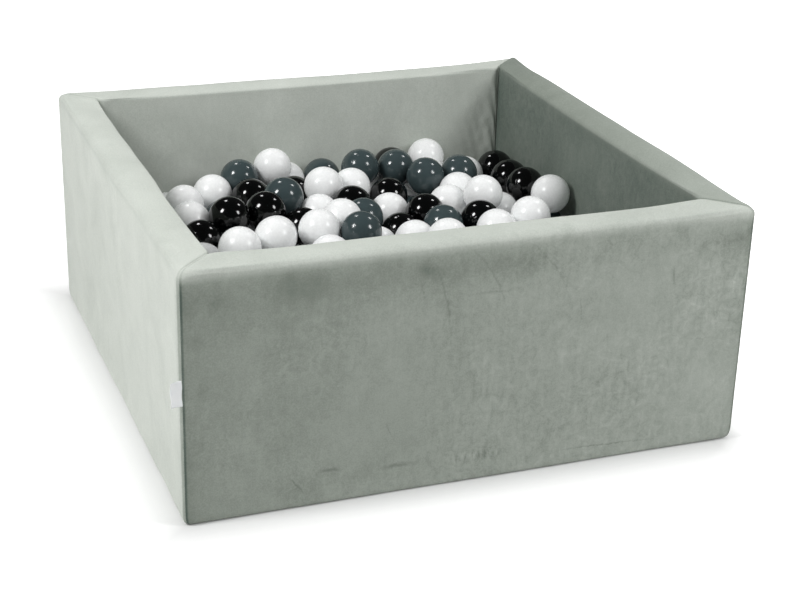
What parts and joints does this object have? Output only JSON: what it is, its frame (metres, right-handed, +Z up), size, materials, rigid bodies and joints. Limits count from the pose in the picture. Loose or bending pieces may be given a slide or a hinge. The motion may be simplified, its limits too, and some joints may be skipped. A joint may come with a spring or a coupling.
{
  "type": "ball pit",
  "caption": "Square foam ball pit: four padded velvet walls round a padded base, filled with plastic balls.",
  "frame": {"origin": "on the floor, in the middle of the pit's underside", "axes": "+Z up; the front wall faces -Y and the right wall faces +X; the blank tab is in the front left corner seam"},
  "size_m": [0.9179, 0.9136, 0.402],
  "materials": {
    "velvet": "brushed sage grey velvet",
    "foam": "open-cell polyurethane foam",
    "zip_tape": "woven tape",
    "zip_metal": "nickel-plated",
    "label": "blank white satin",
    "ball_white": "glossy",
    "ball_grey": "glossy slate grey",
    "ball_black": "glossy"
  },
  "bodies": {
    "pit": {"ball_bed": "ball_grey", "base_cover": "velvet", "base_foam": "foam", "label_tab": "label", "wall_cover_back": "velvet", "wall_cover_front": "velvet", "wall_cover_left": "velvet", "wall_cover_right": "velvet", "wall_foam_back": "foam", "wall_foam_front": "foam", "wall_foam_left": "foam", "wall_foam_right": "foam", "zip_chain_back": "zip_tape", "zip_chain_base": "zip_tape", "zip_chain_front": "zip_tape", "zip_chain_left": "zip_tape", "zip_chain_right": "zip_tape"},
    "zip_slider_front": {"zip_slider_front": "zip_metal"},
    "zip_pull_front": {"zip_pull_front": "zip_metal"},
    "zip_slider_right": {"zip_slider_right": "zip_metal"},
    "zip_pull_right": {"zip_pull_right": "zip_metal"},
    "zip_slider_back": {"zip_slider_back": "zip_metal"},
    "zip_pull_back": {"zip_pull_back": "zip_metal"},
    "zip_slider_left": {"zip_slider_left": "zip_metal"},
    "zip_pull_left": {"zip_pull_left": "zip_metal"},
    "zip_slider_base": {"zip_slider_base": "zip_metal"},
    "zip_pull_base": {"zip_pull_base": "zip_metal"},
    "ball_black_01": {"ball_black_01": "ball_black"},
    "ball_black_02": {"ball_black_02": "ball_black"},
    "ball_black_03": {"ball_black_03": "ball_black"},
    "ball_black_04": {"ball_black_04": "ball_black"},
    "ball_black_05": {"ball_black_05": "ball_black"},
    "ball_black_06": {"ball_black_06": "ball_black"},
    "ball_grey_01": {"ball_grey_01": "ball_grey"},
    "ball_grey_02": {"ball_grey_02": "ball_grey"},
    "ball_grey_03": {"ball_grey_03": "ball_grey"},
    "ball_grey_04": {"ball_grey_04": "ball_grey"},
    "ball_grey_05": {"ball_grey_05": "ball_grey"},
    "ball_grey_06": {"ball_grey_06": "ball_grey"},
    "ball_grey_07": {"ball_grey_07": "ball_grey"},
    "ball_white_01": {"ball_white_01": "ball_white"},
    "ball_white_02": {"ball_white_02": "ball_white"},
    "ball_white_03": {"ball_white_03": "ball_white"},
    "ball_white_04": {"ball_white_04": "ball_white"},
    "ball_white_05": {"ball_white_05": "ball_white"},
    "ball_white_06": {"ball_white_06": "ball_white"},
    "ball_white_07": {"ball_white_07": "ball_white"},
    "ball_white_08": {"ball_white_08": "ball_white"},
    "ball_white_09": {"ball_white_09": "ball_white"},
    "ball_white_10": {"ball_white_10": "ball_white"},
    "ball_white_11": {"ball_white_11": "ball_white"},
    "ball_white_12": {"ball_white_12": "ball_white"},
    "ball_white_13": {"ball_white_13": "ball_white"},
    "ball_white_14": {"ball_white_14": "ball_white"},
    "ball_white_15": {"ball_white_15": "ball_white"}
  },
  "joints": [
    {"name": "zip_slider_front_slide", "type": "slide", "parent": "pit", "child": "zip_slider_front", "axis": [-1, 0, 0], "range_m": [0, 0.68]},
    {"name": "zip_pull_front_hinge", "type": "hinge", "parent": "zip_slider_front", "child": "zip_pull_front", "pos_m": [0.3447, -0.421, 0.00165], "axis": [0, -1, 0], "range_deg": [0, 165]},
    {"name": "zip_slider_right_slide", "type": "slide", "parent": "pit", "child": "zip_slider_right", "axis": [0, -1, 0], "range_m": [0, 0.68]},
    {"name": "zip_pull_right_hinge", "type": "hinge", "parent": "zip_slider_right", "child": "zip_pull_right", "pos_m": [0.421, 0.3447, 0.00165], "axis": [1, 0, 0], "range_deg": [0, 165]},
    {"name": "zip_slider_back_slide", "type": "slide", "parent": "pit", "child": "zip_slider_back", "axis": [1, 0, 0], "range_m": [0, 0.68]},
    {"name": "zip_pull_back_hinge", "type": "hinge", "parent": "zip_slider_back", "child": "zip_pull_back", "pos_m": [-0.3447, 0.421, 0.00165], "axis": [0, 1, 0], "range_deg": [0, 165]},
    {"name": "zip_slider_left_slide", "type": "slide", "parent": "pit", "child": "zip_slider_left", "axis": [0, 1, 0], "range_m": [0, 0.68]},
    {"name": "zip_pull_left_hinge", "type": "hinge", "parent": "zip_slider_left", "child": "zip_pull_left", "pos_m": [-0.421, -0.3447, 0.00165], "axis": [-1, 0, 0], "range_deg": [0, 165]},
    {"name": "zip_slider_base_slide", "type": "slide", "parent": "pit", "child": "zip_slider_base", "axis": [-1, 0, 0], "range_m": [0, 0.57]},
    {"name": "zip_pull_base_hinge", "type": "hinge", "parent": "zip_slider_base", "child": "zip_pull_base", "pos_m": [0.29217, 0.24, 0.00165], "axis": [0, -1, 0], "range_deg": [0, 165]},
    {"name": "ball_black_01_lift", "type": "slide", "parent": "pit", "child": "ball_black_01", "axis": [0, 0, 1], "range_m": [0, 0.25]},
    {"name": "ball_black_02_lift", "type": "slide", "parent": "pit", "child": "ball_black_02", "axis": [0, 0, 1], "range_m": [0, 0.25]},
    {"name": "ball_black_03_lift", "type": "slide", "parent": "pit", "child": "ball_black_03", "axis": [0, 0, 1], "range_m": [0, 0.25]},
    {"name": "ball_black_04_lift", "type": "slide", "parent": "pit", "child": "ball_black_04", "axis": [0, 0, 1], "range_m": [0, 0.25]},
    {"name": "ball_black_05_lift", "type": "slide", "parent": "pit", "child": "ball_black_05", "axis": [0, 0, 1], "range_m": [0, 0.25]},
    {"name": "ball_black_06_lift", "type": "slide", "parent": "pit", "child": "ball_black_06", "axis": [0, 0, 1], "range_m": [0, 0.25]},
    {"name": "ball_grey_01_lift", "type": "slide", "parent": "pit", "child": "ball_grey_01", "axis": [0, 0, 1], "range_m": [0, 0.25]},
    {"name": "ball_grey_02_lift", "type": "slide", "parent": "pit", "child": "ball_grey_02", "axis": [0, 0, 1], "range_m": [0, 0.25]},
    {"name": "ball_grey_03_lift", "type": "slide", "parent": "pit", "child": "ball_grey_03", "axis": [0, 0, 1], "range_m": [0, 0.25]},
    {"name": "ball_grey_04_lift", "type": "slide", "parent": "pit", "child": "ball_grey_04", "axis": [0, 0, 1], "range_m": [0, 0.25]},
    {"name": "ball_grey_05_lift", "type": "slide", "parent": "pit", "child": "ball_grey_05", "axis": [0, 0, 1], "range_m": [0, 0.25]},
    {"name": "ball_grey_06_lift", "type": "slide", "parent": "pit", "child": "ball_grey_06", "axis": [0, 0, 1], "range_m": [0, 0.25]},
    {"name": "ball_grey_07_lift", "type": "slide", "parent": "pit", "child": "ball_grey_07", "axis": [0, 0, 1], "range_m": [0, 0.25]},
    {"name": "ball_white_01_lift", "type": "slide", "parent": "pit", "child": "ball_white_01", "axis": [0, 0, 1], "range_m": [0, 0.25]},
    {"name": "ball_white_02_lift", "type": "slide", "parent": "pit", "child": "ball_white_02", "axis": [0, 0, 1], "range_m": [0, 0.25]},
    {"name": "ball_white_03_lift", "type": "slide", "parent": "pit", "child": "ball_white_03", "axis": [0, 0, 1], "range_m": [0, 0.25]},
    {"name": "ball_white_04_lift", "type": "slide", "parent": "pit", "child": "ball_white_04", "axis": [0, 0, 1], "range_m": [0, 0.25]},
    {"name": "ball_white_05_lift", "type": "slide", "parent": "pit", "child": "ball_white_05", "axis": [0, 0, 1], "range_m": [0, 0.25]},
    {"name": "ball_white_06_lift", "type": "slide", "parent": "pit", "child": "ball_white_06", "axis": [0, 0, 1], "range_m": [0, 0.25]},
    {"name": "ball_white_07_lift", "type": "slide", "parent": "pit", "child": "ball_white_07", "axis": [0, 0, 1], "range_m": [0, 0.25]},
    {"name": "ball_white_08_lift", "type": "slide", "parent": "pit", "child": "ball_white_08", "axis": [0, 0, 1], "range_m": [0, 0.25]},
    {"name": "ball_white_09_lift", "type": "slide", "parent": "pit", "child": "ball_white_09", "axis": [0, 0, 1], "range_m": [0, 0.25]},
    {"name": "ball_white_10_lift", "type": "slide", "parent": "pit", "child": "ball_white_10", "axis": [0, 0, 1], "range_m": [0, 0.25]},
    {"name": "ball_white_11_lift", "type": "slide", "parent": "pit", "child": "ball_white_11", "axis": [0, 0, 1], "range_m": [0, 0.25]},
    {"name": "ball_white_12_lift", "type": "slide", "parent": "pit", "child": "ball_white_12", "axis": [0, 0, 1], "range_m": [0, 0.25]},
    {"name": "ball_white_13_lift", "type": "slide", "parent": "pit", "child": "ball_white_13", "axis": [0, 0, 1], "range_m": [0, 0.25]},
    {"name": "ball_white_14_lift", "type": "slide", "parent": "pit", "child": "ball_white_14", "axis": [0, 0, 1], "range_m": [0, 0.25]},
    {"name": "ball_white_15_lift", "type": "slide", "parent": "pit", "child": "ball_white_15", "axis": [0, 0, 1], "range_m": [0, 0.25]}
  ]
}
